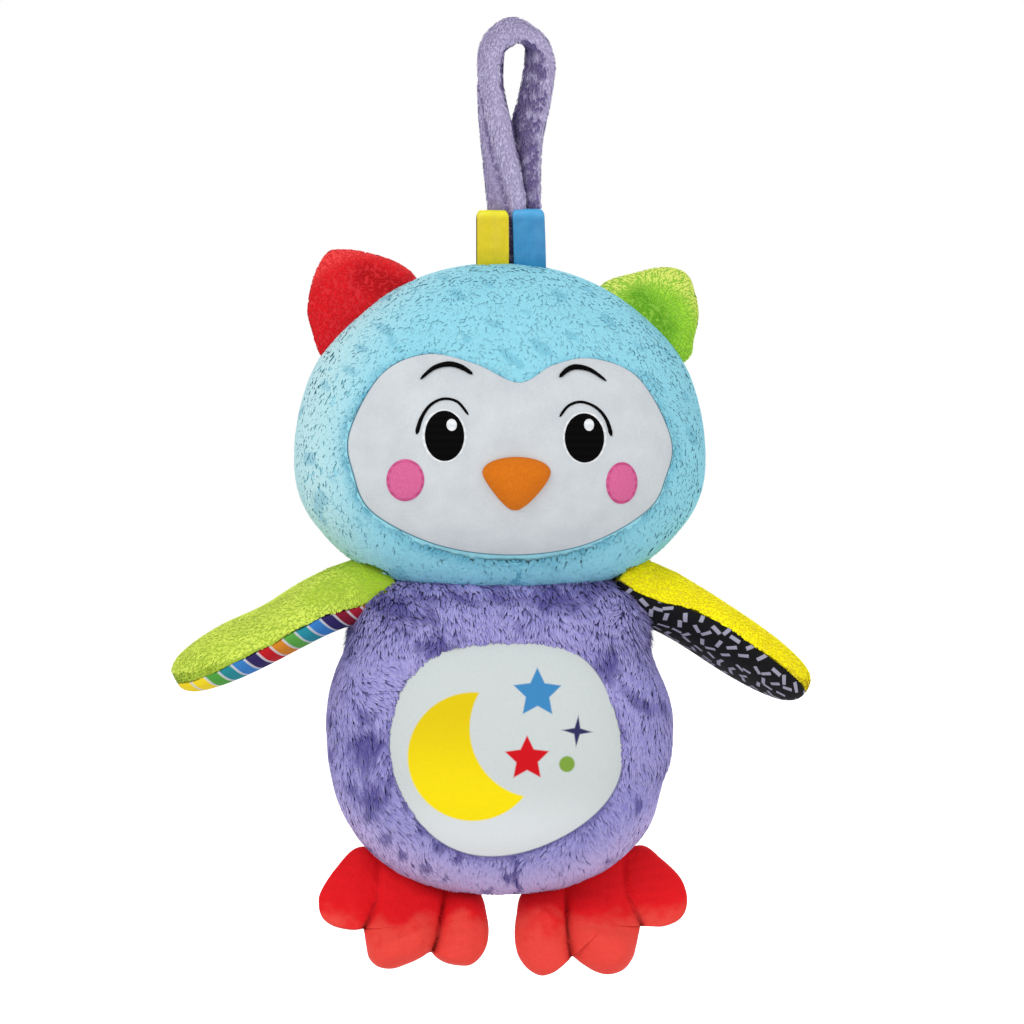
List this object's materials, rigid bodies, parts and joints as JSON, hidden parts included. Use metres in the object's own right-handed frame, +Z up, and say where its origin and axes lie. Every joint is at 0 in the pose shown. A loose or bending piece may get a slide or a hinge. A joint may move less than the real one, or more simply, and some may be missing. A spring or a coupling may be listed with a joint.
{
  "type": "plush night light",
  "caption": "Plush owl night light on a hanging loop, with a press lamp behind its printed belly window, a battery box under a padded back flap, and wings and feet that bend.",
  "frame": {"origin": "inner top of the hanging loop, where a hook or a cot rail carries the toy", "axes": "+Z up, the face and belly look along -Y, +X to the viewer's right"},
  "size_m": [0.214, 0.0992, 0.3202],
  "materials": {
    "plush_blue": "matte",
    "plush_violet": "matte",
    "plush_lilac": "matte",
    "plush_red": "matte",
    "plush_lime": "matte",
    "plush_green": "matte",
    "plush_yellow": "matte",
    "velboa_white": "matte",
    "velboa_red": "matte",
    "print_white": "matte",
    "striped_cotton": "matte",
    "dashed_cotton": "matte",
    "satin_yellow": "satin",
    "satin_blue": "satin",
    "thread_black": "satin",
    "felt_pink": "matte",
    "felt_orange": "matte",
    "white_plastic": "satin",
    "diffuser": "satin",
    "board_green": "satin",
    "led_clear": "gloss",
    "black_plastic": "matte",
    "steel": "satin",
    "cell_wrap": "satin",
    "lead_red": "satin",
    "lead_black": "satin",
    "tape_violet": "matte"
  },
  "bodies": {
    "hanger": {"hang_loop": "plush_lilac"},
    "owl": {"tag_yellow": "satin_yellow", "tag_blue": "satin_blue", "head_plush": "plush_blue", "face_panel": "velboa_white", "beak": "felt_orange", "cheek_left": "felt_pink", "cheek_right": "felt_pink", "eye_left": "thread_black", "eye_right": "thread_black", "ear_red": "plush_red", "ear_green": "plush_lime", "body_plush": "plush_violet", "belly_panel": "print_white", "lamp_bezel": "white_plastic", "lamp_base": "white_plastic", "lamp_board": "board_green", "led_1": "led_clear", "led_2": "led_clear", "led_3": "led_clear", "press_switch": "black_plastic", "lamp_screw_1": "steel", "lamp_screw_2": "steel", "lamp_screw_3": "steel", "battery_box": "white_plastic", "battery_cover": "white_plastic", "battery_cell_1": "cell_wrap", "battery_cell_2": "cell_wrap", "battery_cell_3": "cell_wrap", "contact_plus_1": "steel", "contact_plus_2": "steel", "contact_plus_3": "steel", "contact_minus_1": "steel", "contact_minus_2": "steel", "contact_minus_3": "steel", "contact_spring_1": "steel", "contact_spring_2": "steel", "contact_spring_3": "steel", "cover_screw": "steel", "slide_switch": "black_plastic", "lead_red": "lead_red", "lead_black": "lead_black", "loop_tape": "tape_violet"},
    "wing_green": {"wing_green_top": "plush_green", "wing_green_underside": "striped_cotton"},
    "wing_yellow": {"wing_yellow_top": "plush_yellow", "wing_yellow_underside": "dashed_cotton"},
    "foot_left": {"foot_left": "velboa_red"},
    "foot_right": {"foot_right": "velboa_red"},
    "lamp_button": {"lamp_lens": "diffuser", "switch_plunger": "black_plastic"},
    "power_knob": {"switch_knob": "black_plastic"},
    "flap": {"back_flap": "plush_violet", "hook_tape": "tape_violet"}
  },
  "joints": [
    {"name": "loop_swing", "type": "hinge", "parent": "hanger", "child": "owl", "pos_m": [0, 0, -0.0706], "axis": [1, 0, 0], "range_deg": [0, 70]},
    {"name": "green_wing_lift", "type": "hinge", "parent": "owl", "child": "wing_green", "pos_m": [-0.0507, 0, -0.1782], "axis": [0, 1, 0], "range_deg": [-20, 30], "stiffness_Nm_per_rad": 0.08, "springref_deg": 0.86},
    {"name": "yellow_wing_lift", "type": "hinge", "parent": "owl", "child": "wing_yellow", "pos_m": [0.0417, 0, -0.1782], "axis": [0, -1, 0], "range_deg": [-20, 30], "stiffness_Nm_per_rad": 0.08, "springref_deg": 0.86},
    {"name": "left_foot_fold", "type": "hinge", "parent": "owl", "child": "foot_left", "pos_m": [-0.0305, 0, -0.2788], "axis": [0.9245, 0, -0.3811], "range_deg": [-20, 50], "stiffness_Nm_per_rad": 0.02, "springref_deg": -0.46},
    {"name": "right_foot_fold", "type": "hinge", "parent": "owl", "child": "foot_right", "pos_m": [0.0215, 0, -0.2788], "axis": [0.9245, 0, 0.3811], "range_deg": [-20, 50], "stiffness_Nm_per_rad": 0.02, "springref_deg": -0.46},
    {"name": "lamp_press", "type": "slide", "parent": "owl", "child": "lamp_button", "axis": [0, 1, 0], "range_m": [0, 0.0015], "stiffness_N_per_m": 800, "springref_m": -0.002},
    {"name": "power_slide", "type": "slide", "parent": "owl", "child": "power_knob", "axis": [1, 0, 0], "range_m": [0, 0.004]},
    {"name": "back_flap_hinge", "type": "hinge", "parent": "owl", "child": "flap", "pos_m": [-0.0045, 0.03471, -0.1975], "axis": [1, 0, 0], "range_deg": [0, 110]}
  ]
}
